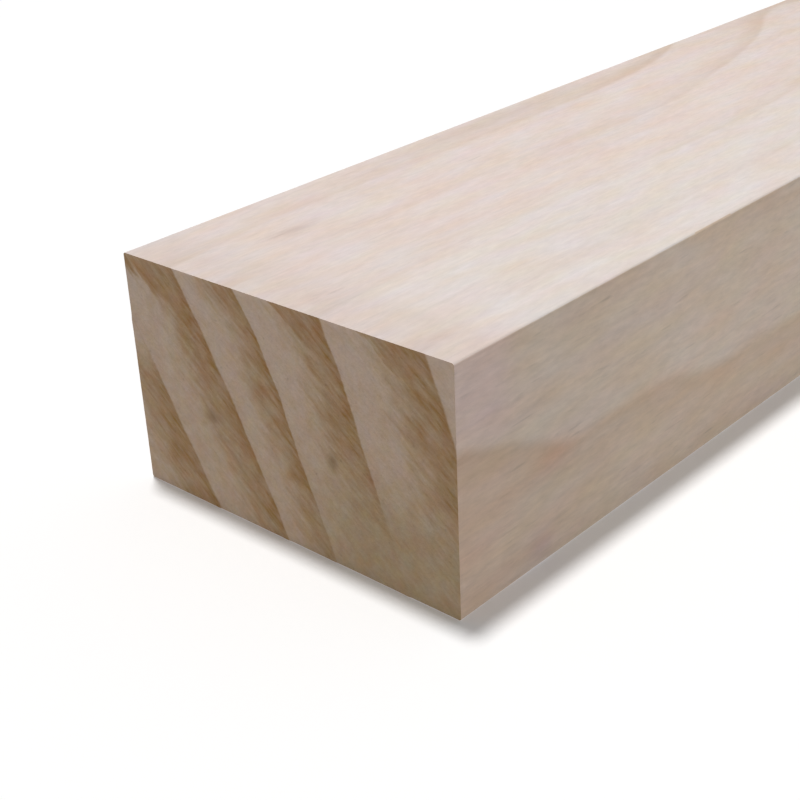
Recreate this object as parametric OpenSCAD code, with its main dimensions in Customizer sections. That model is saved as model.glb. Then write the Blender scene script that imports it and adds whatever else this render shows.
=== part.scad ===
// Planed softwood plank of nominal 2 x 3 inch section, sawn from the log as one piece.
// It lies on one of its wide faces. Its length runs along X and its width along Y, its
// underside is at Z = 0, and the origin is under the middle of the stick.

/* [Section] */
// Width of the two wide faces
plank_w = 63.5; // [20:0.1:300]
// Thickness between the two wide faces
plank_t = 38.1; // [12:0.1:150]
// Radius of the four long arrises, as the planer eases them
arris_r = 0.4; // [0.2:0.1:3]

/* [Length] */
// Length from one sawn end to the other
plank_l = 2438.4; // [300:0.1:6000]

/* [Hidden] */
planed_pine = [0.87, 0.79, 0.70];
// Facets of a full circle, of which each arris is a quarter
arris_fn = 48;

// Cross-section after planing, with the width across X and the thickness up Y.
// Two crossed rectangles reach the four faces, and a circle fills each corner.
module planed_section() {
    flat_w = plank_w - 2 * arris_r;
    flat_t = plank_t - 2 * arris_r;
    translate([-flat_w / 2, 0]) square([flat_w, plank_t]);
    translate([-plank_w / 2, arris_r]) square([plank_w, flat_t]);
    for (x = [-flat_w / 2, flat_w / 2], y = [arris_r, plank_t - arris_r])
        translate([x, y]) circle(r = arris_r, $fn = arris_fn);
}

// The whole stick: the section run along the length, with both ends sawn square.
module plank() {
    color(planed_pine)
        rotate([90, 0, 90])
            linear_extrude(height = plank_l, center = true)
                planed_section();
}

plank();
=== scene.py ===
# %% [markdown]
# # A planed softwood plank, cut out of one log
#
# The real object is a single stick of pine. A saw cut it from a log, a planer smoothed its four
# long faces and eased their edges, and a second saw cut it to length. All that there is to see on
# it is how those tools met the wood: pale planed faces, and an end where each year's growth shows
# as a brown band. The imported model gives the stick's size. This lesson gives it a surface.

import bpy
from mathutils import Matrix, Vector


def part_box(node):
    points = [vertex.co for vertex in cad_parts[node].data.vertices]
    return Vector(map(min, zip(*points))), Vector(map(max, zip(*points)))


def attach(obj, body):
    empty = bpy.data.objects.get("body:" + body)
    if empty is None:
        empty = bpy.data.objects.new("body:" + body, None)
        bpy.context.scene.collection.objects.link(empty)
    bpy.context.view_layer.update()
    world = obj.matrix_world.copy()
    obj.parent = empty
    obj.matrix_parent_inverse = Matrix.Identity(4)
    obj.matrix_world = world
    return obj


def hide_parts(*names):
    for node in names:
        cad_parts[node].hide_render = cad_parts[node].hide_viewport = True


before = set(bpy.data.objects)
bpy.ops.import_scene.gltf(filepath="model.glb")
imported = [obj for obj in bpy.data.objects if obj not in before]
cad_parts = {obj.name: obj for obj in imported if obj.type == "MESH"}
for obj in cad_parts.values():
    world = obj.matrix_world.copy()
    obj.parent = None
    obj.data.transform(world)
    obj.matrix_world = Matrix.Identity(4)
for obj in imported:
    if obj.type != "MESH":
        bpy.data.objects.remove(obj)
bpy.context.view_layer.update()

import math

import bmesh
import bpy
from mathutils import Matrix, Vector

low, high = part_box("plank")
LENGTH, WIDTH, THICKNESS = high - low
print(f"the stick is {LENGTH:.4f} m long, {WIDTH:.4f} m wide and {THICKNESS:.4f} m thick")

# %% [markdown]
# ## The camera first
#
# A photograph shows only the first 20 cm of the stick, from close by, so the place of the camera
# decides which parts of the surface need the finest work. It stands off the near end, to the
# front edge's side, and looks down at about 27 degrees, with a slight tilt to the left. A place
# and a direction, both in the frame of the model, are easier to check than three angles.

# %% Place the camera
MM = 0.001
NEAR_END = Vector((low.x, 0, 0))
CAMERA_PLACE = NEAR_END + Vector((-124.8, -138.2, 116.9)) * MM
CAMERA_LOOK = Vector((0.6536, 0.6059, -0.4535))
CAMERA_ROLL = math.radians(-2.65)
FOCAL_PIXELS, PHOTO_PIXELS = 1495.0, 800.0
FILM_WIDTH, NEAREST_SEEN = 36.0, 0.01

camera = bpy.data.objects.new("camera", bpy.data.cameras.new("camera"))
bpy.context.scene.collection.objects.link(camera)
camera.data.sensor_width = FILM_WIDTH
camera.data.lens = FOCAL_PIXELS / PHOTO_PIXELS * FILM_WIDTH
camera.data.clip_start = NEAREST_SEEN
upright = CAMERA_LOOK.to_track_quat("-Z", "Y").to_matrix().to_4x4()
rolled = upright @ Matrix.Rotation(CAMERA_ROLL, 4, "Z")
camera.matrix_world = Matrix.Translation(CAMERA_PLACE) @ rolled
bpy.context.scene.camera = camera
print(f"lens {camera.data.lens:.1f} mm, {(CAMERA_PLACE - NEAR_END).length:.3f} m away")

# %% [markdown]
# ## The stick as the planer leaves it
#
# A cube at the stick's real size is the start. Its four long edges are then bevelled, because a
# planed edge is never a true line: it has a radius of about half a millimetre, which catches the
# light. A Bevel modifier would round the sawn ends too, and a saw leaves those sharp, so the
# bevel is done by hand, on the four long edges alone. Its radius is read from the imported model,
# as the width that the underside lacks.

# %% Start from a cube
SAME_PLACE = 1e-6
packed_points = [vert.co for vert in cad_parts["plank"].data.vertices]
ARRIS = high.y - max(point.y for point in packed_points if point.z < low.z + SAME_PLACE)
print(f"the planer's arris has a radius of {ARRIS / MM:.2f} mm")

bpy.ops.object.select_all(action="DESELECT")
bpy.ops.mesh.primitive_cube_add(
    size=1.0, location=(low + high) / 2, scale=(LENGTH, WIDTH, THICKNESS)
)
stick = bpy.context.object
stick.name = "dressed_plank"
stick.data.name = "dressed_plank"
bpy.ops.object.transform_apply(location=True, rotation=False, scale=True)

# %% Ease the long edges
ARRIS_STEPS = 3


def pick(kind, test):
    """Selects the edges or the faces that pass the test, and nothing else."""
    bpy.ops.mesh.select_all(action="DESELECT")
    mesh = bmesh.from_edit_mesh(stick.data)
    chosen = [part for part in getattr(mesh, kind) if test(part)]
    for part in chosen:
        part.select_set(True)
    bmesh.update_edit_mesh(stick.data)
    return len(chosen)


def runs_along(axis, least=0.0):
    """A test for edges that run along one axis and are longer than the least length."""
    others = [n for n in range(3) if n != axis]

    def test(edge):
        span = edge.verts[1].co - edge.verts[0].co
        return abs(span[axis]) > least and all(abs(span[n]) < SAME_PLACE for n in others)

    return test


bpy.ops.object.mode_set(mode="EDIT")
bpy.ops.mesh.select_mode(type="EDGE")
long_edges = pick("edges", runs_along(0))
bpy.ops.mesh.bevel(offset=ARRIS, segments=ARRIS_STEPS, profile=0.5, affect="EDGES")
print(f"{long_edges} long edges are round now, each in {ARRIS_STEPS} steps")

# %% [markdown]
# ## Enough points to carry the grain
#
# The relief of wood is fine across the grain and long along it, so the cells of the mesh are half
# a millimetre wide and many millimetres long. Each end needs a true grid, and an end that has
# just been bevelled is one face with sixteen corners. Four cuts in line with the arrises, made on
# the ends alone, leave a plain rectangle in the middle of it. After that, subdividing the edges
# that run one way carries each new line right round the stick.


# %% Cut the ends in line with the arrises
def on_an_end(face, least_lean=0.7):
    """Whether a face's normal leans along the stick, as only those of the sawn ends do."""
    return abs(face.normal.x) > least_lean


bpy.ops.mesh.select_mode(type="FACE")
for axis, place in (
    (1, low.y + ARRIS),
    (1, high.y - ARRIS),
    (2, low.z + ARRIS),
    (2, high.z - ARRIS),
):
    point, normal = Vector((0, 0, 0)), Vector((0, 0, 0))
    point[axis], normal[axis] = place, 1.0
    picked = pick("faces", on_an_end)
    bpy.ops.mesh.bisect(plane_co=point, plane_no=normal)
    print(f"cut {picked} faces at {place / MM:.2f} mm")

# %% [markdown]
# One subdivision makes a hundred cuts at most, which is too few for the width. So the width is
# divided in two goes: first in pieces of a millimetre, and then each of those in two.

# %% Divide the faces across the grain
CELL = 0.5 * MM


def divide(test, pieces):
    """Divides each edge that passes the test into that many pieces."""
    count = pick("edges", test)
    bpy.ops.mesh.subdivide(number_cuts=pieces - 1)
    print(f"{count} edges, each in {pieces} pieces")


bpy.ops.mesh.select_mode(type="EDGE")
divide(runs_along(1, WIDTH / 2), round((WIDTH - 2 * ARRIS) / CELL / 2))
divide(runs_along(1, 1.5 * CELL), 2)
divide(runs_along(2, THICKNESS / 2), round((THICKNESS - 2 * ARRIS) / CELL))

# %% [markdown]
# Along the stick the cells are short near both ends, where the stick is looked at from close by,
# and long in the middle. Two cuts right through mark where that changes.

# %% Divide the stick along its length
FINE_ZONE = 250 * MM
NEAR_ROWS, MIDDLE_ROWS, FAR_ROWS = 50, 92, 40
fine_start, fine_again = low.x + FINE_ZONE, high.x - FINE_ZONE

bpy.ops.mesh.select_mode(type="FACE")
for place in (fine_start, fine_again):
    bpy.ops.mesh.select_all(action="SELECT")
    bpy.ops.mesh.bisect(plane_co=(place, 0, 0), plane_no=(1, 0, 0))
bpy.ops.mesh.select_mode(type="EDGE")


def in_stretch(start, end):
    """A test for the long edges that lie between two places along the stick."""
    lengthwise = runs_along(0, FINE_ZONE / 2)

    def test(edge):
        middle = (edge.verts[0].co.x + edge.verts[1].co.x) / 2
        return start < middle < end and lengthwise(edge)

    return test


divide(in_stretch(low.x, fine_start), NEAR_ROWS)
divide(in_stretch(fine_start, fine_again), MIDDLE_ROWS)
divide(in_stretch(fine_again, high.x), FAR_ROWS)
bpy.ops.object.mode_set(mode="OBJECT")
stick.data.calc_loop_triangles()
print("triangles:", len(stick.data.loop_triangles))

# %% [markdown]
# ## Formulas made of nodes
#
# The growth rings are a formula in three directions, and it is used twice: once to move the
# mesh's points, in Geometry Nodes, and once to colour the faces, in the materials. Both kinds of
# tree take the same Math and Noise nodes. So one small class wraps a node's output and lets
# ordinary sums be written with it. Each sum adds its node.


# %% Wrap a node's output
def find_socket(sockets, name):
    """A socket by its place, its identifier or, where no identifier fits, its name."""
    if isinstance(name, int):
        return sockets[name]
    found = [socket for socket in sockets if socket.identifier == name]
    return found[0] if found else sockets[name]


class Wire:
    """The output of a node, or the bare tree where a formula starts."""

    def __init__(self, tree, socket=None):
        self.tree = tree
        self.socket = socket

    def node(self, kind, settings=None, sockets=None, output=0):
        """Adds a node: its settings first, then the value or the link of each socket named."""
        made = self.tree.nodes.new(kind)
        for name, value in (settings or {}).items():
            setattr(made, name, value)
        for name, value in (sockets or {}).items():
            socket = find_socket(made.inputs, name)
            if isinstance(value, Wire):
                self.tree.links.new(value.socket, socket)
            else:
                socket.default_value = value
        return Wire(self.tree, find_socket(made.outputs, output))

    def beside(self, output):
        """Another output of the same node."""
        return Wire(self.tree, find_socket(self.socket.node.outputs, output))

    def maths(self, operation, *others):
        """A Math node on this value and the others, in that order."""
        values = dict(enumerate((self, *others)))
        return self.node("ShaderNodeMath", {"operation": operation}, values)

    def __add__(self, other):
        return self.maths("ADD", other)

    def __sub__(self, other):
        return self.maths("SUBTRACT", other)

    def __rsub__(self, other):
        return self.node("ShaderNodeMath", {"operation": "SUBTRACT"}, {0: other, 1: self})

    def __mul__(self, other):
        return self.maths("MULTIPLY", other)

    def __truediv__(self, other):
        return self.maths("DIVIDE", other)

    __radd__ = __add__
    __rmul__ = __mul__

    def step(self, start, end, interpolation="SMOOTHSTEP"):
        """0 before the start, 1 past the end, and a soft rise between the two."""
        return self.node(
            "ShaderNodeMapRange",
            {"interpolation_type": interpolation},
            {"Value": self, "From Min": start, "From Max": end},
        )

    def fade(self, start, end):
        """1 before the start, 0 past the end, and a soft fall between the two."""
        return 1.0 - self.step(start, end)

    def hump(self, centre, reach):
        """A bell curve, 1 high at the centre, that has sunk to about a third at the reach."""
        share = (self - centre) / reach
        return (share * share * -1.0).maths("EXPONENT")

    def vectors(self, operation, *others, output="Vector"):
        """A Vector Math node on this vector and the others, in that order."""
        values = dict(enumerate((self, *others)))
        return self.node("ShaderNodeVectorMath", {"operation": operation}, values, output)

    def parts(self):
        """The three parts of a vector."""
        first = self.node("ShaderNodeSeparateXYZ", None, {"Vector": self}, "X")
        return first, first.beside("Y"), first.beside("Z")

    def scaled(self, amount):
        """A vector or a colour, every part of it times the same amount."""
        settings = {"operation": "SCALE"}
        return self.node("ShaderNodeVectorMath", settings, {"Vector": self, "Scale": amount})

    def mix(self, first, second):
        """The first colour where this value is 0, and the second where it is 1."""
        return self.node(
            "ShaderNodeMix",
            {"data_type": "RGBA", "clamp_factor": False},
            {"Factor_Float": self, "A_Color": first, "B_Color": second},
            "Result_Color",
        )

    def tinted(self, amount, tint):
        """A colour, times the tint where the amount is 1, and away from the tint below 0."""
        return amount.mix(self, self.vectors("MULTIPLY", tint))

    def noise(self, lumps, detail=2.0, roughness=0.5):
        """Soft noise about 0, seldom past -1 or 1. Its lumps have the size given on each axis."""
        squeezed = self.vectors("DIVIDE", lumps)
        noise = squeezed.node(
            "ShaderNodeTexNoise",
            {"noise_dimensions": "3D", "normalize": True},
            {"Vector": squeezed, "Scale": 1.0, "Detail": detail, "Roughness": roughness},
            "Fac",
        )
        return (noise - 0.5) * 3.0


print("a formula can now be written as (wire - 3) / 2")

# %% [markdown]
# ## Where the growth rings are
#
# All the figure on a sawn stick, on the ends and on the long faces alike, is one set of shells:
# each year the tree lays a layer of wood round itself, pale in spring and dark by autumn. A stick
# is a straight cut through those layers. So the rings are made in space, not drawn on each face,
# and the lines then meet at every edge, as they do in real wood.
#
# The first formula turns a place into plain directions: along the stick from the near end, across
# it from the back edge, and down from the top, all in millimetres.

# %% Name the directions
PER_MM = 1000.0
LONG, WIDE, THICK = (size * PER_MM for size in (LENGTH, WIDTH, THICKNESS))


def in_stick(place):
    """Turns a place in metres into millimetres along, across and down."""
    return place.vectors("MULTIPLY_ADD", (PER_MM, -PER_MM, -PER_MM), (LONG / 2, WIDE / 2, THICK))


print(f"{LONG:.1f} mm along, {WIDE:.1f} mm across and {THICK:.1f} mm down")

# %% [markdown]
# A trunk isn't a straight cylinder, so the rings are pushed about before they are counted. The
# strongest pushes come from the knots beside the stick, which were cut away with the rest of the
# log, and which bend the rings round themselves. A knot's push is a bell curve along the stick,
# which fades with the distance from the edge that the knot lay beside.

# %% Bend the grain round the knots
# Each knot: whether it is at the back, its place along the stick, half its reach along it, its
# push, and the depth into the stick at which a third of that push is left
KNOTS = (
    (True, 190.0, 42.0, 20.0, 26.0),
    (False, 1130.0, 105.0, 17.0, 30.0),
    (True, 1890.0, 120.0, 15.0, 28.0),
    (False, 2290.0, 80.0, 9.0, 24.0),
)


def knots(place):
    """The push of the knots to the back edge, in millimetres, and how near one is, from 0 to 1."""
    along, across, _ = place.parts()
    push, nearness = 0.0, 0.0
    for at_back, centre, reach, amount, depth in KNOTS:
        inward = across if at_back else WIDE - across
        pull = along.hump(centre, reach) * (inward / -depth).maths("EXPONENT")
        push = push + pull * (amount if at_back else -amount)
        nearness = nearness + pull
    return push, nearness


print(len(KNOTS), "knots lie beside the stick, cut away with the rest of the log")

# %% [markdown]
# The other pushes are small. On the sawn end the rings behind the middle stand a little more
# aslant. From there on all of them drift to the back edge, those in the middle less than the rest.
# They lean over a little under the top face, and the outer ones drift again further along. Before
# the first knot they swing to the front, and the whole trunk tapers and wanders slowly. A push
# acts over a stretch, written as its start and its end, or about a place, written with its reach.

# %% Push the rings about
# Stretches along the stick or down it, in millimetres
LEAVING_END, OUTER_FURTHER, SLOW_START = (2.0, 23.0), (44.0, 66.0), (120.0, 500.0)
LEAN_DEPTHS, LEAN_END, TAPER_START = (4.0, 26.0), (95.0, 150.0), 200.0
# Stretches and places across the stick, and the place of the swing along it
LAG_ACROSS, SLANT_ACROSS, LEAN_ACROSS = (38.0, 7.0), (22.0, 12.0), (29.0, 16.0)
OUTER_ACROSS, SWING_ACROSS, SWING_ALONG = (38.0, 58.0), (31.0, 14.0), (108.0, 28.0)
# The pushes, in millimetres or for each millimetre
END_DRIFT, MIDDLE_LAG, TOP_LEAN, OUTER_DRIFT, MIDDLE_SWING = 2.85, 1.3, 2.0, 1.4, 3.0
SLANT_PER_MM, UPRIGHT_DEPTH, TAPER_PER_MM = 0.085, 20.0, 0.006
SLOW_WANDER, SLOW_LUMPS = 3.0, (340.0, 60.0, 60.0)
FINE_WANDER, FINE_LUMPS = 0.35, (28.0, 8.0, 8.0)


def ring_push(place):
    """How far the rings are pushed to the back edge at a place, in millimetres."""
    along, across, down = place.parts()
    inside = along.step(*LEAVING_END, "LINEAR")
    push = inside * END_DRIFT - inside * across.hump(*LAG_ACROSS) * MIDDLE_LAG
    slant = (1.0 - inside) * across.hump(*SLANT_ACROSS) * (UPRIGHT_DEPTH - down)
    push = push + slant * SLANT_PER_MM
    lean = across.hump(*LEAN_ACROSS) * down.fade(*LEAN_DEPTHS) * along.fade(*LEAN_END)
    push = push - lean * TOP_LEAN
    push = push + along.step(*OUTER_FURTHER) * across.step(*OUTER_ACROSS) * OUTER_DRIFT
    push = push - along.hump(*SWING_ALONG) * across.hump(*SWING_ACROSS) * MIDDLE_SWING
    push = push + (along - TAPER_START).maths("MAXIMUM", 0.0) * TAPER_PER_MM
    slow = place.noise(SLOW_LUMPS, detail=1.0) * along.step(*SLOW_START)
    fine = place.noise(FINE_LUMPS, detail=1.0)
    return push + knots(place)[0] + slow * SLOW_WANDER + fine * FINE_WANDER


print(f"by the far end the taper is {(LONG - TAPER_START) * TAPER_PER_MM:.1f} mm")

# %% [markdown]
# The rings themselves are arcs about the pith, which lay low and behind the stick. They are
# flatter than circles here, because the log was large and not quite round. The widths of a pine's
# rings follow its years: these are 9 to 15 mm, from a tree that grew fast. Counting how many radii
# a place lies past, with a part of a ring for the last, gives the ring, and the fraction that is
# left over says how far into that year's wood the place is.

# %% Count the rings
PITH_ACROSS, PITH_DOWN, FLATNESS = -90.0, 200.0, 0.55
RING_RADII = (72, 84, 95, 104, 115, 125.5, 137.8, 149.5, 158.1, 169.9, 185.1, 197, 207, 219)


def distance(sideways, upward):
    """How far a place is from a centre, from its distances sideways and upward."""
    return (sideways * sideways + upward * upward).maths("SQRT")


def ring_count(place):
    """The number of rings from the pith to a place, whose fraction is the part of a year."""
    _, across, down = place.parts()
    sideways = across + ring_push(place) - PITH_ACROSS
    radius = distance(sideways, (down - PITH_DOWN) * FLATNESS)
    count = 0.0
    for inner, outer in zip(RING_RADII, RING_RADII[1:]):
        count = count + radius.step(inner, outer, "LINEAR")
    return count


widths = [outer - inner for inner, outer in zip(RING_RADII, RING_RADII[1:])]
print(f"{len(widths)} years, each {min(widths):.1f} to {max(widths):.1f} mm wide")

# %% [markdown]
# Within a year the wood darkens in three stages: some by summer, most of the rest by autumn, and
# the last share in a few days, up to the sharp line where the next spring starts.

# %% Darken the wood through the year
# Parts of a year, from 0 in spring to 1 at its end
SUMMER, AUTUMN_END, LAST_DAYS = (0.28, 0.66), 0.97, (0.92, 0.96)
LAST_SHARE = 0.2


def autumn_wood(age, summer_share, onset=0.78, year_end=0.975):
    """How dark the wood is, from 0 to 1, at a part of the year."""
    summer = age.step(*SUMMER) * summer_share
    autumn = age.step(onset, AUTUMN_END) * (1.0 - LAST_SHARE - summer_share)
    last_days = age.step(*LAST_DAYS) * LAST_SHARE
    return (summer + autumn + last_days) * age.fade(year_end, 1.0)


print(f"the last {1 - LAST_DAYS[0]:.2f} of a year gives {LAST_SHARE} of its darkness")

# %% [markdown]
# ## Relief in the real mesh
#
# Planed pine isn't flat for long. The soft spring wood shrinks a little under the hard autumn
# wood, a sawn end keeps the arcs of the blade, and handling knocks small flats into the arrises.
# None of that is deeper than a quarter of a millimetre. A sculpt brush couldn't be that even, and
# a bump map would leave the edges dead straight. So Geometry Nodes moves the points, and always
# inwards, so that the stick keeps its size.

# %% Follow the arcs of the blade
BLADE_PITCH = 2.3
BLADE_ACROSS, BLADE_DOWN = 150.0, -95.0
BLADE_WANDER, BLADE_LUMPS = 0.4, (40.0, 9.0, 9.0)


def blade_arcs(place):
    """A wave from -1 to 1 along the arcs that a circular saw leaves on an end."""
    _, across, down = place.parts()
    reach = distance(across - BLADE_ACROSS, down - BLADE_DOWN)
    wander = place.noise(BLADE_LUMPS, detail=1.0) * BLADE_WANDER
    return ((reach / BLADE_PITCH + wander) * math.tau).maths("SINE")


print(f"the blade's marks are {BLADE_PITCH} mm apart, on arcs about a point outside the stick")

# %% Move the points
SHRINKAGE, SUMMER_HARDNESS = 0.05 * MM, 0.4
END_TEAR, BLADE_MARK = 0.10 * MM, 0.03 * MM
ARRIS_WEAR, KNOCKS, KNOCK_SHARE = 0.22 * MM, (22.0, 9.0, 9.0), (0.3, 1.0)
# How far a normal leans along the stick on an end, and both across and up on an arris
END_LEAN, ARRIS_LEAN = (0.6, 0.9), (0.2, 0.5)
# Edges that turn further than this stay sharp
SHARP_ANGLE = math.radians(40.0)


def build_relief(tree):
    """Moves every point against its own normal, by the growth rings, the saw and the wear."""
    start = Wire(tree)
    mesh = start.node("NodeGroupInput", output="Geometry")
    spot = start.node("GeometryNodeInputPosition", output="Position")
    facing = start.node("GeometryNodeInputNormal", output="Normal")
    place = in_stick(spot)
    age = ring_count(place).maths("FRACT")
    spring = 1.0 - autumn_wood(age, SUMMER_HARDNESS)
    lengthwise, sideways, upward = (part.maths("ABSOLUTE") for part in facing.parts())
    on_end = lengthwise.step(*END_LEAN)
    on_arris = sideways.maths("MINIMUM", upward).step(*ARRIS_LEAN)
    knocks = place.noise(KNOCKS, detail=1.0).step(*KNOCK_SHARE)
    torn = spring * END_TEAR + (blade_arcs(place) + 1.0) * (BLADE_MARK / 2)
    depth = spring * SHRINKAGE * (1.0 - on_end) + torn * on_end + knocks * on_arris * ARRIS_WEAR
    moved = start.node(
        "GeometryNodeSetPosition", None, {"Geometry": mesh, "Offset": facing.scaled(depth * -1.0)}
    )
    tree.links.new(moved.socket, tree.nodes.new("NodeGroupOutput").inputs["Geometry"])


relief = bpy.data.node_groups.new("planed_relief", "GeometryNodeTree")
relief.interface.new_socket("Geometry", in_out="INPUT", socket_type="NodeSocketGeometry")
relief.interface.new_socket("Geometry", in_out="OUTPUT", socket_type="NodeSocketGeometry")
build_relief(relief)
modifier = stick.modifiers.new("planed_relief", "NODES")
modifier.node_group = relief
bpy.ops.object.modifier_apply(modifier=modifier.name)
bpy.ops.object.shade_smooth_by_angle(angle=SHARP_ANGLE)
print("the relief took", len(relief.nodes), "nodes")

# %% [markdown]
# ## One species, two cuts
#
# The same wood looks different by how it was cut. Along the grain the fibres lie flat and throw
# the light back, so the planed faces are pale and their rings are faint. Across the grain they are
# open tubes that swallow it, so the ends are brown and their rings are bold. The colours given
# below also hold painted light: the wide faces' are partly paler and cooler as a painted sheen,
# and those of a narrow face and an end are partly darker as painted shade, on top of the shade
# that the lamps give them. A photograph of wood laid on each face would be quicker, but its lines
# wouldn't meet at the edges. Two functions make the materials here: one for planed faces, which
# the wide and the narrow ones use with values of their own, and one for sawn ends. Both read the
# same rings.


# %% Start a finish
def new_finish(name):
    """A new material, its shader, and the place that its formulas start from."""
    material = bpy.data.materials.new(name)
    material.use_nodes = True
    shader = material.node_tree.nodes["Principled BSDF"]
    spot = Wire(material.node_tree).node("ShaderNodeTexCoord", output="Object")
    return material, shader, in_stick(spot)


def feed(shader, name, wire):
    """Links a formula to one of the shader's sockets."""
    wire.tree.links.new(wire.socket, shader.inputs[name])


def feed_bump(shader, height):
    """Links a height in metres to the shader's normal, through a Bump node."""
    bump = height.node("ShaderNodeBump", None, {"Height": height, "Distance": 1.0})
    feed(shader, "Normal", bump)


print("a finish starts as a plain shader and a place in the wood")

# %% [markdown]
# ## Resin
#
# Pine is full of fine resin ducts that run with the grain. An end shows them as specks and a face
# as short dashes. A Voronoi pattern gives scattered points, and stretching it along the grain
# draws each point out into a duct.

# %% Scatter the resin ducts
DUCT_SPACING = (24.0, 2.4, 2.4)
# The edge of a duct, as shares of the spacing
DUCT_EDGE = (0.04, 0.12)


def resin_ducts(place):
    """1 on the fine ducts that run along the grain, and 0 between them."""
    squeezed = place.vectors("DIVIDE", DUCT_SPACING)
    reach = squeezed.node("ShaderNodeTexVoronoi", None, {"Vector": squeezed, "Scale": 1.0}, "Distance")
    return reach.fade(*DUCT_EDGE)


print(f"resin ducts about {DUCT_SPACING[1]} mm apart")

# %% [markdown]
# Resin that has bled, dirt and the blue-grey stain that damp sapwood takes leave marks, each at a
# place of its own. All but the last four are where the near end shows them. Those four are
# further along, so that the rest of the stick isn't cleaner than its start. A bell curve about
# each place is enough for marks this small. Each kind has a tint of its own, which multiplies the
# wood's colour.

# %% Place the stains
BROWN_RESIN, RED_RESIN = (0.62, 0.58, 0.45), (1.01, 0.86, 0.83)
DIRT, SAP_STAIN = (0.85, 0.84, 0.85), (0.91, 0.86, 0.99)
# Each stain: its tint, its place along, across and down, its reach each way, and its strength
STAINS = (
    (RED_RESIN, (20.5, 63.5, 22.0), (5.0, 3.0, 2.4), 1.0),
    (SAP_STAIN, (18.0, 63.5, 34.8), (3.2, 2.0, 2.2), 1.0),
    (BROWN_RESIN, (9.0, 63.5, 16.4), (8.0, 2.0, 1.8), 0.14),
    (DIRT, (20.0, 63.5, 28.5), (9.0, 2.0, 3.5), 0.20),
    (DIRT, (16.5, 63.5, 12.2), (2.4, 2.0, 0.7), 0.70),
    (DIRT, (12.8, 63.5, 10.0), (1.1, 2.0, 0.5), 0.60),
    (DIRT, (21.6, 14.3, 0.0), (4.2, 1.2, 2.0), 1.0),
    (BROWN_RESIN, (88.0, 3.2, 0.0), (34.0, 2.2, 3.0), 0.28),
    (BROWN_RESIN, (0.0, 41.0, 21.5), (3.0, 1.0, 1.5), 1.00),
    (BROWN_RESIN, (0.0, 16.2, 22.3), (3.0, 1.6, 1.1), 0.95),
    (BROWN_RESIN, (0.0, 21.8, 5.8), (3.0, 1.0, 0.6), 0.30),
    (RED_RESIN, (410.0, 63.5, 9.0), (9.0, 3.0, 1.2), 0.80),
    (BROWN_RESIN, (760.0, 22.0, 0.0), (16.0, 1.1, 3.0), 0.25),
    (DIRT, (1540.0, 41.0, 38.1), (12.0, 1.4, 3.0), 0.80),
    (BROWN_RESIN, (1980.0, 63.5, 27.0), (14.0, 3.0, 1.3), 0.25),
)


def stained(place, colour):
    """The colour of the wood, under the tint of each stain that reaches the place."""
    for tint, centre, reaches, strength in STAINS:
        apart = place.vectors("SUBTRACT", centre).vectors("DIVIDE", reaches)
        nearness = apart.vectors("LENGTH", output="Value").hump(0.0, 1.0)
        colour = colour.tinted(nearness * strength, tint)
    return colour


print(len(STAINS), "stains")

# %% [markdown]
# ## The planed faces
#
# On a planed face a year's line is soft. It is darker by the sawn end, where open fibres have
# taken up dirt, and round a knot, and one dry year near the back edge left a darker line than
# the rest. The near end of the stick was rubbed, so its lines are weaker there than further on.

# %% Darken the rings of a planed face
# Stretches along the stick, in millimetres
RUBBED, DIRTY_END = (60.0, 150.0), (1.0, 8.0)
BY_THE_END, BY_A_KNOT, DRY_YEAR = 0.22, 0.40, 0.70
DRY_COUNT, DRY_REACH = 6.95, 0.3


def planed_rings(along, count, late, by_knot, ring_strength, near_share):
    """How far a place on a planed face is from spring colour, at 0, to autumn colour, at 1."""
    strength = (along.step(*RUBBED) * (1.0 - near_share) + near_share) * ring_strength
    strength = strength * (1.0 + count.hump(DRY_COUNT, DRY_REACH) * DRY_YEAR)
    strength = strength + along.fade(*DIRTY_END) * BY_THE_END + by_knot * BY_A_KNOT
    return late * strength


print(f"the line of the dry year is {1 + DRY_YEAR:.1f} times as dark as the others")

# %% [markdown]
# Pine has a pink heart and yellower sapwood, and the colour wanders in small clouds besides. A
# tint multiplies a colour, so that it shifts the hue and keeps the pattern. A Mix with a flat
# colour would wash the pattern out. The front edge has a grey bloom by the sawn end, under the top
# arris.

# %% Tint the wood
PINKER, YELLOWER, BLOOM = (1.0, 0.955, 0.945), (1.0, 0.985, 0.925), (1.0, 1.0, 1.09)
# The lumps of the clouds, in millimetres along, across and down
PINK_CLOUDS, YELLOW_CLOUDS = (14.0, 4.5, 4.5), (12.0, 3.5, 3.5)
CLOUD_TINT = 1.4
# The rings between which the heart ends, and stretches along the stick or down it
HEART_RINGS, PINK_END = (8.45, 9.30), (4.0, 18.0)
BLOOM_ALONG, BLOOM_DOWN = (8.0, 14.0), (9.0, 17.0)
HEART_PINK, SAP_PINK, NEAR_PINK, KNOT_YELLOW = 0.75, -0.35, 0.9, 0.5


def planed_tints(place, count, by_knot, bloom, colour):
    """The colour of planed wood, pinker at the heart and the near end, yellower round a knot."""
    along, _, down = place.parts()
    pink = count.fade(*HEART_RINGS).maths("MAXIMUM", along.fade(*PINK_END) * NEAR_PINK)
    pink = pink * (HEART_PINK - SAP_PINK) + SAP_PINK + place.noise(PINK_CLOUDS) * CLOUD_TINT
    yellow = place.noise(YELLOW_CLOUDS, detail=1.0) * CLOUD_TINT + by_knot * KNOT_YELLOW
    by_arris = along.fade(*BLOOM_ALONG) * down.fade(*BLOOM_DOWN)
    return colour.tinted(pink, PINKER).tinted(yellow, YELLOWER).tinted(by_arris * bloom, BLOOM)


print("heartwood starts under ring", HEART_RINGS[1])

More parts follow.
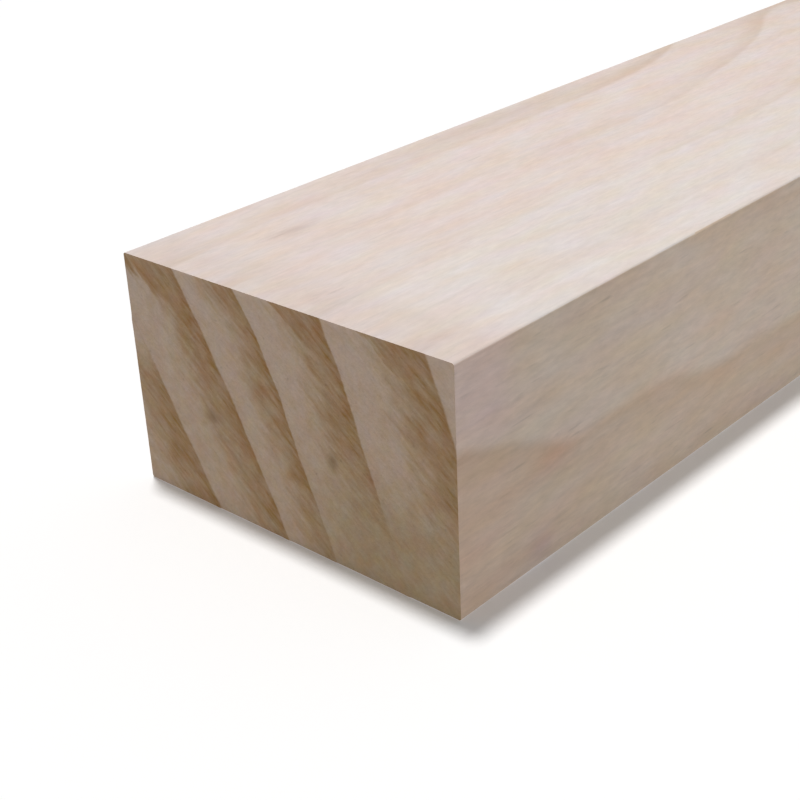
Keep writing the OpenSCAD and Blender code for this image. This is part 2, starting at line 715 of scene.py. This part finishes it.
# %% [markdown]
# The finest marks are the fibres. There are four sizes of them, all much longer than they are
# wide: single fibres, streaks of many, soft clouds, and the short fuzz that the planer raised.
# Most lighten or darken the wood by a few hundredths, and the fuzz by about a tenth. The fibres
# and the fuzz are also the height that a Bump node reads, because they are too fine for the mesh.
# Here and there the planer tore the grain, which left short dark dashes, mostly on the narrow
# faces.

# %% Make a planed finish
# The lumps of each mark, in millimetres along, across and down
FIBRES, STREAKS, CLOUDS = (40.0, 0.4, 0.4), (130.0, 2.4, 2.4), (34.0, 7.0, 7.0)
FUZZ, TORN = (3.2, 0.8, 0.8), (5.0, 0.6, 0.6)
# Stretches along the stick, in millimetres, and the share of the torn noise that shows
HANDLED_END, STAINED_END, TORN_SHARE = (6.0, 14.0), (15.0, 60.0), (0.45, 1.0)
# How much each mark lightens or darkens the wood
FINE_LIGHT, DUCT_SHADE, KNOT_SHADE = 0.03, 0.06, 0.07
FIBRE_HEIGHT, FUZZ_HEIGHT, DUCT_DEPTH = 0.000008, 0.000015, 0.00003
PLANED_ROUGHNESS, AUTUMN_GLOSS, FIBRE_ROUGHNESS = 0.68, 0.10, 0.04


def planed_face(
    name,
    spring,
    autumn,
    summer_share,
    onset,
    year_end,
    ring_strength,
    near_share,
    near_shade,
    end_stain,
    fuzziness,
    torn,
    bloom,
):
    """The finish of a planed face, from the colours of its spring and autumn wood, painted light
    included.

    A year is summer_share dark by summer, darkens again from the onset, and ends at year_end.
    Its line takes ring_strength of the autumn colour, and near_share of that where the stick was
    rubbed. The first centimetre is darker by near_shade, and the first few by end_stain. The last
    three say how much there is of the planer's fuzz, of the torn dashes and of the grey bloom.
    """
    material, shader, place = new_finish(name)
    along = place.parts()[0]
    count = ring_count(place)
    by_knot = knots(place)[1]
    late = autumn_wood(count.maths("FRACT"), summer_share, onset, year_end)
    rings = planed_rings(along, count, late, by_knot, ring_strength, near_share)
    colour = planed_tints(place, count, by_knot, bloom, rings.mix(spring, autumn))
    fibres = place.noise(FIBRES, detail=3.0, roughness=0.6)
    fuzz = place.noise(FUZZ, detail=3.0, roughness=0.65)
    ducts = resin_ducts(place)
    dashes = place.noise(TORN, detail=1.0).step(*TORN_SHARE)
    light = 1.0 + (fibres + place.noise(STREAKS) + place.noise(CLOUDS)) * FINE_LIGHT
    light = light + fuzz * fuzziness - ducts * DUCT_SHADE - dashes * torn - by_knot * KNOT_SHADE
    light = light - along.fade(*HANDLED_END) * near_shade - along.fade(*STAINED_END) * end_stain
    feed(shader, "Base Color", stained(place, colour.scaled(light)))
    feed(shader, "Roughness", PLANED_ROUGHNESS - late * AUTUMN_GLOSS + fibres * FIBRE_ROUGHNESS)
    feed_bump(shader, fibres * FIBRE_HEIGHT + fuzz * FUZZ_HEIGHT - ducts * DUCT_DEPTH)
    print(f"{name}: {len(material.node_tree.nodes)} nodes")
    return material


# %% [markdown]
# The wide faces were cut across the years, so their lines are thin and pale. The narrow faces were
# cut along them: a year there starts to darken in summer, and one line can run for half a metre.
# The colours also hold painted light. The wide faces' are paler and cooler, partly a painted sheen
# and cool light from above, and the narrow faces' are darker, partly painted shade for the dimmer
# light on a side. The colours are written as linear values, as the shader takes them.

# %% Finish the planed faces
wide_finish = planed_face(
    "planed_wide_face",
    # Paler and cooler than the wood's own: partly a painted sheen and cool light from above
    spring=(0.728, 0.635, 0.586, 1),
    autumn=(0.60, 0.47, 0.38, 1),
    summer_share=0.15,
    onset=0.68,
    year_end=0.92,
    ring_strength=0.62,
    near_share=0.45,
    near_shade=0.055,
    end_stain=0.005,
    fuzziness=0.09,
    torn=0.03,
    bloom=0.0,
)
narrow_finish = planed_face(
    "planed_narrow_edge",
    # Both colours are darker than the wood's own: partly painted shade for the dimmer light on a side
    spring=(0.700, 0.558, 0.450, 1),
    autumn=(0.565, 0.393, 0.265, 1),
    summer_share=0.5,
    onset=0.78,
    year_end=0.96,
    ring_strength=0.70,
    near_share=1.0,
    near_shade=-0.02,
    end_stain=0.082,
    fuzziness=0.12,
    torn=0.14,
    bloom=1.0,
)

# %% [markdown]
# ## The sawn ends
#
# A saw tears the fibres of an end at a slant. So the brown of a year starts as a hatching, and
# only its last days end in a clean line. The hatching is noise with long narrow lumps, turned to
# the slant of the teeth, and it pushes the age of the wood about before the brown is worked out.

# %% Tear the fibres
HATCH_ANGLE = math.radians(38.0)
HATCHING, BITES = (30.0, 4.6, 0.8), (30.0, 9.0, 3.0)


def torn_fibres(place):
    """The hatching that the saw's teeth left and the larger bites, both about 0."""
    along, across, down = place.parts()
    slant, steep = math.cos(HATCH_ANGLE), math.sin(HATCH_ANGLE)
    turned = place.node(
        "ShaderNodeCombineXYZ",
        None,
        {"X": along, "Y": across * slant + down * steep, "Z": across * steep - down * slant},
    )
    return turned.noise(HATCHING, detail=3.0, roughness=0.6), turned.noise(BITES)


print(f"the teeth tore the fibres at {math.degrees(HATCH_ANGLE):.0f} degrees to the wide faces")

# %% [markdown]
# How brown an end is depends on the part of the year first. The brown gathers from early summer
# on, a little sooner right under the top face and a little later just below it. In the top few
# millimetres a wedge of brown runs ahead of the rest, further ahead in some years than in others.

# %% Brown the years of an end
# Parts of a year, from 0 in spring to 1 at its end, and shifts of them
BROWN_START, BROWN_RISE, LAST_RISE, LAST_BROWN = 0.22, 0.66, (0.84, 0.95), 0.14
SOONER, LATER = 0.07, 0.05
WEDGE_START, WEDGE_PER_MM, WEDGE_RISE, WEDGE_BROWN = 0.26, 0.058, 0.16, 0.80
# Depths under the top face, in millimetres
SOONER_DEPTH, LATER_DEPTH, WEDGE_DEPTH = (0.0, 6.0), (7.0, 4.0), (3.5, 9.0)
# The middle of a year, as a ring count, how much later its wedge starts, and the reach of that
WEDGE_SHIFTS, WEDGE_REACH = ((6.5, -0.14), (7.5, 0.30)), 0.5


def year_brown(ragged, down):
    """The brown that gathers through the year, slowly at first and then in a few last days."""
    start = BROWN_START - down.fade(*SOONER_DEPTH) * SOONER + down.hump(*LATER_DEPTH) * LATER
    slow = ragged.step(start, start + BROWN_RISE) * (1.0 - LAST_BROWN)
    return slow + ragged.step(*LAST_RISE) * LAST_BROWN


def wedge_brown(ragged, count, down):
    """The wedge of brown that runs ahead, just under the top face."""
    start = down * WEDGE_PER_MM + WEDGE_START
    for year, later in WEDGE_SHIFTS:
        start = start + count.hump(year, WEDGE_REACH) * later
    return ragged.step(start, start + WEDGE_RISE) * down.fade(*WEDGE_DEPTH) * WEDGE_BROWN


print(f"a year's brown starts {BROWN_START} of the way through it")

# %% [markdown]
# The place on the end comes next. The oldest year, in the corner at the back, is pale above and
# brown below. Everything gets browner downwards, and low at the front the years run into one
# brown. The hatching then darkens and lightens what is there, most where it is brown.

# %% Work out how brown an end is
# Parts of a year: where the tearing sets in, where it stops, and where the next spring starts
TEAR_FROM, TEAR_TO, NEXT_SPRING = (0.10, 0.35), (0.84, 0.96), (0.975, 1.0)
HATCH_PUSH, BITE_PUSH = 0.10, 0.08
OLDEST_YEAR, OLDEST_LINE = 6.0, 0.02
# Stretches down and across an end, in millimetres
OLDEST_PALE, LOWER_DOWN, FRONT_DOWN, FRONT_ACROSS = (12.0, 22.0), (4.0, 36.0), (18.0, 31.0), (30.0, 47.0)
LOW_BROWNING, LOW_FRONT_BROWN, LOW_FRONT_SHARE = 0.23, 0.65, 0.9
HATCH_DARK, BITE_DARK, PALE_HATCH, LOW_FRONT_CALM = 0.40, 0.16, 0.15, 0.5


def low_front(place):
    """1 in the low front corner of an end, where the years run together, and 0 away from it."""
    _, across, down = place.parts()
    return down.step(*FRONT_DOWN) * across.step(*FRONT_ACROSS)


def end_rings(place, count, hatching, bites):
    """How far a place on an end is from spring colour, at 0, to autumn colour, at 1."""
    down = place.parts()[2]
    age = count.maths("FRACT")
    tearing = age.step(*TEAR_FROM) * age.fade(*TEAR_TO)
    ragged = age + (hatching * HATCH_PUSH + bites * BITE_PUSH) * tearing
    late = year_brown(ragged, down).maths("MAXIMUM", wedge_brown(ragged, count, down))
    late = late * age.fade(*NEXT_SPRING)
    oldest = count.fade(OLDEST_YEAR - OLDEST_LINE, OLDEST_YEAR)
    late = late * (1.0 - oldest * down.fade(*OLDEST_PALE))
    late = late + (1.0 - late) * down.step(*LOWER_DOWN, "LINEAR") * LOW_BROWNING
    merged = low_front(place)
    late = late + (LOW_FRONT_BROWN - late) * merged * LOW_FRONT_SHARE
    marks = (hatching * HATCH_DARK + bites * BITE_DARK) * (1.0 - merged * LOW_FRONT_CALM)
    return late + (late + PALE_HATCH) * marks


print(f"the corner at the back holds wood of year {OLDEST_YEAR:.0f}")

# %% [markdown]
# The colour runs from spring to autumn by that brown. Half-brown wood is yellower than an even
# mix of the two, and the low front corner is greyer. Pink and yellow wander over the end in small
# spots, and they show most in the brown.

# %% Make the finish of the ends
HALF_BROWN, LOW_FRONT_TINT = (1.0, 1.0, 0.94), (0.965, 1.035, 1.05)
END_PINK, END_YELLOW = (1.0, 0.93, 0.92), (1.0, 0.975, 0.875)
PINK_IN_PALE, YELLOW_IN_PALE, MORE_IN_BROWN = 1.2, 1.4, 1.3
# The lumps of each mark, in millimetres along, across and down
PINK_SPOTS, YELLOW_SPOTS = (30.0, 3.4, 3.4), (26.0, 2.6, 2.6)
MOTTLE, PORES = (20.0, 2.0, 2.0), (10.0, 0.5, 0.5)
MOTTLE_LIGHT, PORE_LIGHT, END_DUCT_SHADE = 0.11, 0.05, 0.15
PORE_HEIGHT, HATCH_HEIGHT, BLADE_HEIGHT = 0.00003, 0.00004, 0.00001
SAWN_ROUGHNESS = 0.8


def sawn_end(name, spring, autumn):
    """The finish of a sawn end, from the colours of its spring and autumn wood, painted shade included.
    """
    material, shader, place = new_finish(name)
    hatching, bites = torn_fibres(place)
    late = end_rings(place, ring_count(place), hatching, bites)
    # 1 where the wood is half brown, and 0 where it is pale or fully brown
    half_brown = late * (1.0 - late) * 4.0
    colour = late.mix(spring, autumn).tinted(half_brown, HALF_BROWN)
    colour = colour.tinted(low_front(place), LOW_FRONT_TINT)
    pinks = place.noise(PINK_SPOTS, detail=3.0, roughness=0.6)
    colour = colour.tinted(pinks * (late * MORE_IN_BROWN + PINK_IN_PALE), END_PINK)
    yellows = place.noise(YELLOW_SPOTS, detail=3.0, roughness=0.6)
    colour = colour.tinted(yellows * (late * MORE_IN_BROWN + YELLOW_IN_PALE), END_YELLOW)
    mottle = place.noise(MOTTLE, detail=3.0, roughness=0.6)
    pores = place.noise(PORES, roughness=0.6)
    light = 1.0 + mottle * MOTTLE_LIGHT + pores * PORE_LIGHT - resin_ducts(place) * END_DUCT_SHADE
    feed(shader, "Base Color", stained(place, colour.scaled(light)))
    shader.inputs["Roughness"].default_value = SAWN_ROUGHNESS
    height = pores * PORE_HEIGHT + hatching * HATCH_HEIGHT + blade_arcs(place) * BLADE_HEIGHT
    feed_bump(shader, height)
    print(f"{name}: {len(material.node_tree.nodes)} nodes")
    return material


# Both colours are darker than the end grain's own: partly painted shade for the dim light on an end
end_finish = sawn_end(
    "sawn_end_grain", spring=(0.525, 0.391, 0.298, 1), autumn=(0.322, 0.186, 0.080, 1)
)

# %% [markdown]
# A face's own normal says how it was cut, so it picks the material. The small faces of an arris
# go with the planed face that they lean to.

# %% Give each face its finish
for material in (wide_finish, narrow_finish, end_finish):
    stick.data.materials.append(material)
for face in stick.data.polygons:
    if on_an_end(face):
        face.material_index = 2
    elif abs(face.normal.y) > abs(face.normal.z):
        face.material_index = 1
cuts = [face.material_index for face in stick.data.polygons]
print("faces of each cut:", [cuts.count(cut) for cut in range(3)])

# %% [markdown]
# ## A map for programs that can't run formulas
#
# The materials read places in the wood, so they need no map. Another program gets them painted
# on a square picture, and a map then says which part of the picture each face shows. Blender can
# unwrap a mesh by itself, but it would squeeze an end of this long stick into a strip a few
# pixels wide. So the map's patches are given one by one. An end gets the most pixels, then the
# near quarter of a metre, and the rest of the stick is squeezed along the grain, where wood
# changes slowly.

# %% Lay out the patches of the map
MAP_PIXELS, MAP_GAP = 1024.0, 4.0
# Pixels for each millimetre, over the width of the map and then over its height
END_SCALE, NEAR_SCALE, REST_SCALE = (6.2, 6.2), (1.2, 4.7), (0.464, 2.52)
SIDE_HEIGHTS = {"top": WIDE, "front": THICK, "bottom": WIDE, "back": THICK}
NEAR_LONG = FINE_ZONE * PER_MM

patches = {}
level = MAP_GAP
for side, height in SIDE_HEIGHTS.items():
    patches["rest", side] = (MAP_GAP, level)
    level += height * REST_SCALE[1] + MAP_GAP
shelf, column = level, MAP_GAP
for pair in (("top", "front"), ("bottom", "back")):
    level = shelf
    for side in pair:
        patches["near", side] = (column, level)
        level += SIDE_HEIGHTS[side] * NEAR_SCALE[1] + MAP_GAP
    column += NEAR_LONG * NEAR_SCALE[0] + MAP_GAP
level = shelf
for end in ("near", "far"):
    patches["end", end] = (column, level)
    level += THICK * END_SCALE[1] + MAP_GAP
print(len(patches), "patches, the last at", patches["end", "far"])


# %% Find a point's place on the map
def patch_of(face):
    """The patch that shows a face: one of the ends, or a side of the near stretch or the rest."""
    lengthwise, sideways, upward = face.normal
    if on_an_end(face):
        return "end", "far" if lengthwise > 0 else "near"
    stretch = "near" if face.center.x < fine_start else "rest"
    if abs(sideways) > abs(upward):
        return stretch, "back" if sideways > 0 else "front"
    return stretch, "top" if upward > 0 else "bottom"


def on_map(patch, spot):
    """The place on the map, from 0 to 1 each way, of a point on that patch."""
    along = (spot.x - low.x) * PER_MM
    across = (high.y - spot.y) * PER_MM
    down = (high.z - spot.z) * PER_MM
    stretch, side = patch
    height = across if side in ("top", "bottom") else down
    if stretch == "end":
        sizes = across * END_SCALE[0], down * END_SCALE[1]
    elif stretch == "near":
        sizes = along * NEAR_SCALE[0], height * NEAR_SCALE[1]
    else:
        sizes = (along - NEAR_LONG) * REST_SCALE[0], height * REST_SCALE[1]
    return [(corner + size) / MAP_PIXELS for corner, size in zip(patches[patch], sizes)]


# %% Map the stick
picture_map = stick.data.uv_layers.new(name="OFBake")
for face in stick.data.polygons:
    patch = patch_of(face)
    for corner in face.loop_indices:
        spot = stick.data.vertices[stick.data.loops[corner].vertex_index].co
        picture_map.data[corner].uv = on_map(patch, spot)
reaches = [max(corner.uv[axis] for corner in picture_map.data) for axis in (0, 1)]
print(f"the map fills {reaches[0]:.3f} of the picture's width and {reaches[1]:.3f} of its height")

# %% [markdown]
# ## Tie the piece to the frame
#
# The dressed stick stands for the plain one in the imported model, so the plain one is hidden. It
# is the only piece, and it rides on the only body.

# %% Tie the piece to the frame
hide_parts("plank")
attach(stick, "root")
print(stick.name, "stands for the plank")

# %% [markdown]
# ## A lit table
#
# The stick lies on white paper, on a table that glows a little from within. On a dark table the
# shadow of the stick would darken both faces that the camera sees, down by the floor, and they
# should keep their tone all the way down. The camera sees the paper at its own white. To the
# stick it gives four fifths of a white sheet's light, most of it the glow, which no shadow takes
# away. Light Path tells the two apart. The sheet lies a hair under the stick, because two
# surfaces at the same height would flicker.


# %% Lay the paper
def seen_directly(tree):
    """1 for what the camera sees, also by reflection or through glass, and 0 for other light."""
    seen = Wire(tree).node("ShaderNodeLightPath", output="Is Camera Ray")
    mirrored = seen.maths("MAXIMUM", seen.beside("Is Glossy Ray"))
    return mirrored.maths("MAXIMUM", seen.beside("Is Transmission Ray"))


def grey(level):
    """A colour with no hue."""
    return (level, level, level, 1)


FLOOR_SIZE, FLOOR_DROP = 60.0, 0.03 * MM
PAPER_WHITE, PAPER_GLOW = 0.975, 0.04
TABLE_WHITE, TABLE_GLOW = 0.20, 0.61

bpy.ops.object.select_all(action="DESELECT")
bpy.ops.mesh.primitive_plane_add(size=FLOOR_SIZE, location=(0, 0, low.z - FLOOR_DROP))
floor = bpy.context.object
floor.name = "studio_floor"
paper = bpy.data.materials.new("white_paper")
paper.use_nodes = True
sheet = paper.node_tree.nodes["Principled BSDF"]
sheet.inputs["Roughness"].default_value = 1.0
sheet.inputs["Specular IOR Level"].default_value = 0.0
sheet.inputs["Emission Strength"].default_value = 1.0
direct = seen_directly(paper.node_tree)
feed(sheet, "Base Color", direct.mix(grey(TABLE_WHITE), grey(PAPER_WHITE)))
feed(sheet, "Emission Color", direct.mix(grey(TABLE_GLOW), grey(PAPER_GLOW)))
floor.data.materials.append(paper)
print(f"the floor is {FLOOR_SIZE:.0f} m square and {FLOOR_DROP / MM:.2f} mm under the stick")

# %% [markdown]
# ## Soft light from above
#
# One broad lamp, high up and a little behind the stick, draws the short soft shadow in front of
# it. The sky fills in the rest. Their shares add up to one, so a face that looks up renders at
# about the colour that it was given. To the camera the sky is plain white.

# %% Set the lights
SUN_SHARE = 0.70
SUN_LOOK = Vector((-0.060, -0.115, -1.0))
SUN_WIDTH = math.radians(6.0)

sun = bpy.data.objects.new("soft_sun", bpy.data.lights.new("soft_sun", "SUN"))
bpy.context.scene.collection.objects.link(sun)
sun.data.energy = SUN_SHARE * math.pi
sun.data.angle = SUN_WIDTH
sun.rotation_euler = SUN_LOOK.to_track_quat("-Z", "Y").to_euler()

world = bpy.data.worlds.new("studio")
world.use_nodes = True
bpy.context.scene.world = world
sky = world.node_tree.nodes["Background"]
sky.inputs["Color"].default_value = grey(1.0)
feed(sky, "Strength", seen_directly(world.node_tree) * SUN_SHARE + (1.0 - SUN_SHARE))

bpy.context.scene.view_settings.view_transform = "Standard"
print(f"lamp {SUN_SHARE:.2f} and sky {1 - SUN_SHARE:.2f} of the light")
